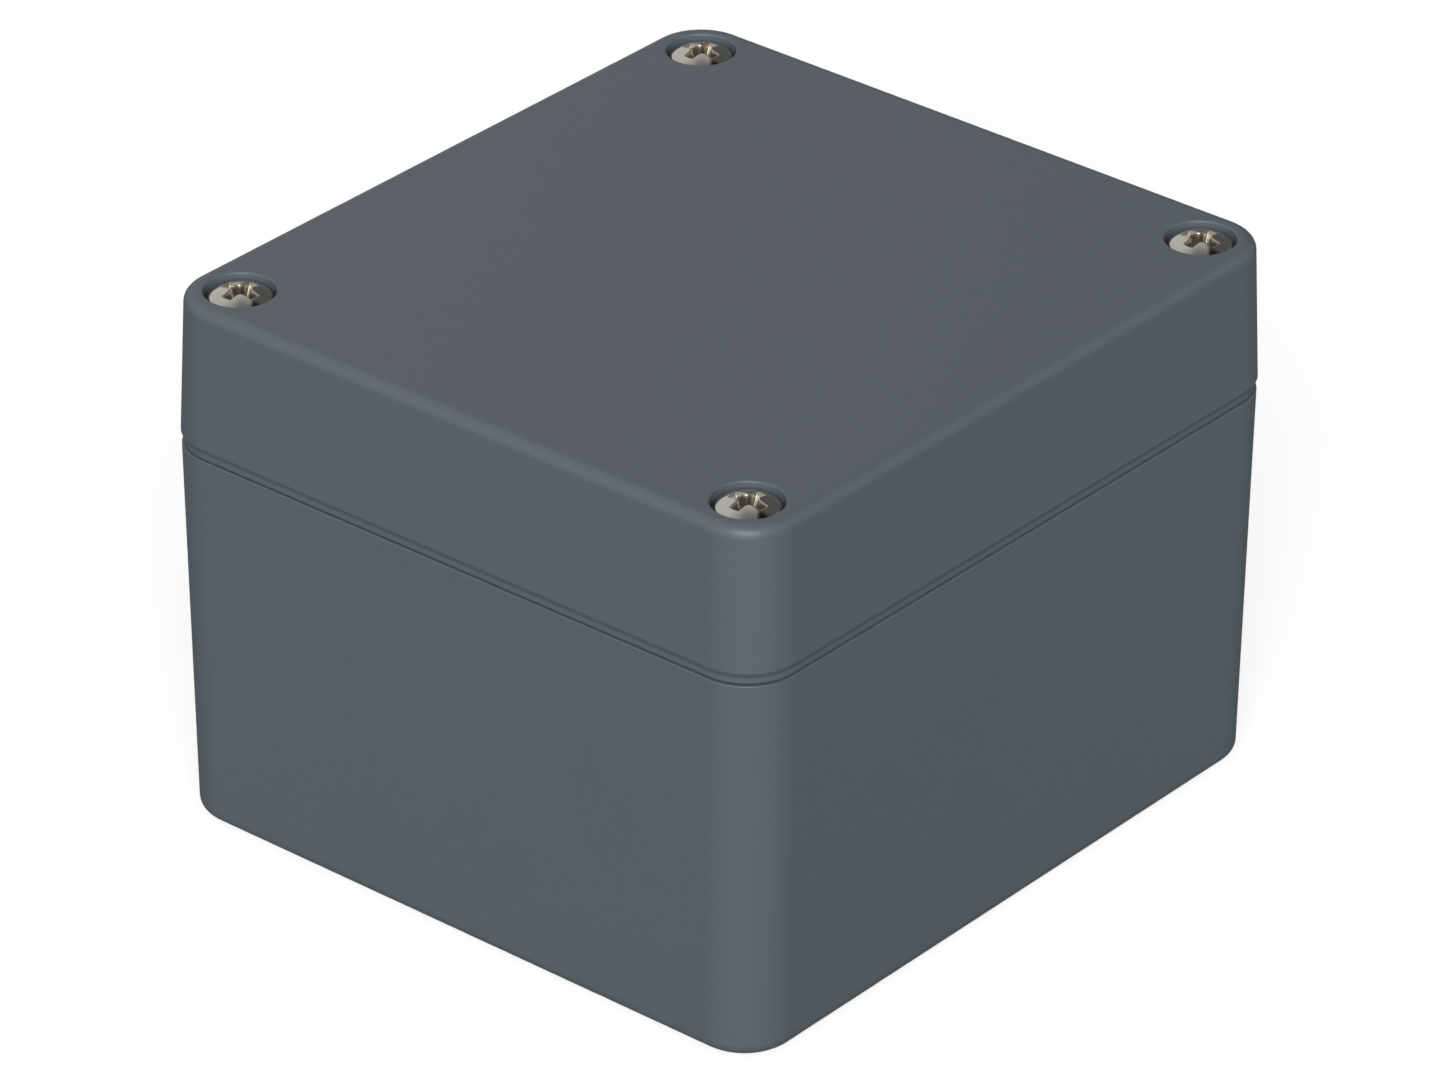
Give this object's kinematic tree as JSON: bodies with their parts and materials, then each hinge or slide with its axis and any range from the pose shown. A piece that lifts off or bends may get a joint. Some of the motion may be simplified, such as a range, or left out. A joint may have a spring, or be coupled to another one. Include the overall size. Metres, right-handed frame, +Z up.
{
  "type": "plastic enclosure",
  "caption": "Closed rectangular moulded enclosure with rounded corners, a deep lid on a dark seam line, and sunk cross-recess lid screws at the corners.",
  "frame": {"origin": "middle of the underside", "axes": "+Z up through the lid, X along the shorter side, Y along the longer side"},
  "size_m": [0.075, 0.08, 0.0574],
  "materials": {
    "shell": "smooth moulded plastic, dark blue-grey, satin",
    "seal_rubber": "soft black rubber",
    "screw_steel": "turned stainless steel, bright",
    "retainer_nylon": "natural nylon",
    "insert_brass": "plain turned brass"
  },
  "bodies": {
    "base": {"base": "shell", "thread_insert_1": "insert_brass", "thread_insert_2": "insert_brass", "thread_insert_3": "insert_brass", "thread_insert_4": "insert_brass", "plate_insert_1": "insert_brass", "plate_insert_2": "insert_brass", "plate_insert_3": "insert_brass", "plate_insert_4": "insert_brass"},
    "lid": {"lid": "shell", "lid_gasket": "seal_rubber"},
    "retainer_1": {"screw_retainer_1": "retainer_nylon"},
    "screw_1": {"lid_screw_1": "screw_steel"},
    "retainer_2": {"screw_retainer_2": "retainer_nylon"},
    "screw_2": {"lid_screw_2": "screw_steel"},
    "retainer_3": {"screw_retainer_3": "retainer_nylon"},
    "screw_3": {"lid_screw_3": "screw_steel"},
    "retainer_4": {"screw_retainer_4": "retainer_nylon"},
    "screw_4": {"lid_screw_4": "screw_steel"}
  },
  "joints": [
    {"name": "lid_lift", "type": "slide", "parent": "base", "child": "lid", "axis": [0, 0, 1], "range_m": [0, 0.03]},
    {"name": "screw_rise_1", "type": "slide", "parent": "lid", "child": "retainer_1", "axis": [0, 0, 1], "range_m": [0, 0.007]},
    {"name": "screw_turn_1", "type": "hinge", "parent": "retainer_1", "child": "screw_1", "pos_m": [0.0316, -0.0341, 0.0545], "axis": [0, 0, 1], "range_deg": [0, 3600]},
    {"name": "screw_rise_2", "type": "slide", "parent": "lid", "child": "retainer_2", "axis": [0, 0, 1], "range_m": [0, 0.007]},
    {"name": "screw_turn_2", "type": "hinge", "parent": "retainer_2", "child": "screw_2", "pos_m": [0.0316, 0.0341, 0.0545], "axis": [0, 0, 1], "range_deg": [0, 3600]},
    {"name": "screw_rise_3", "type": "slide", "parent": "lid", "child": "retainer_3", "axis": [0, 0, 1], "range_m": [0, 0.007]},
    {"name": "screw_turn_3", "type": "hinge", "parent": "retainer_3", "child": "screw_3", "pos_m": [-0.0316, 0.0341, 0.0545], "axis": [0, 0, 1], "range_deg": [0, 3600]},
    {"name": "screw_rise_4", "type": "slide", "parent": "lid", "child": "retainer_4", "axis": [0, 0, 1], "range_m": [0, 0.007]},
    {"name": "screw_turn_4", "type": "hinge", "parent": "retainer_4", "child": "screw_4", "pos_m": [-0.0316, -0.0341, 0.0545], "axis": [0, 0, 1], "range_deg": [0, 3600]}
  ],
  "couplings": [
    {"joint": "screw_turn_1", "follows": "screw_rise_1", "rad_per_m": 8976},
    {"joint": "screw_turn_2", "follows": "screw_rise_2", "rad_per_m": 8976},
    {"joint": "screw_turn_3", "follows": "screw_rise_3", "rad_per_m": 8976},
    {"joint": "screw_turn_4", "follows": "screw_rise_4", "rad_per_m": 8976}
  ]
}
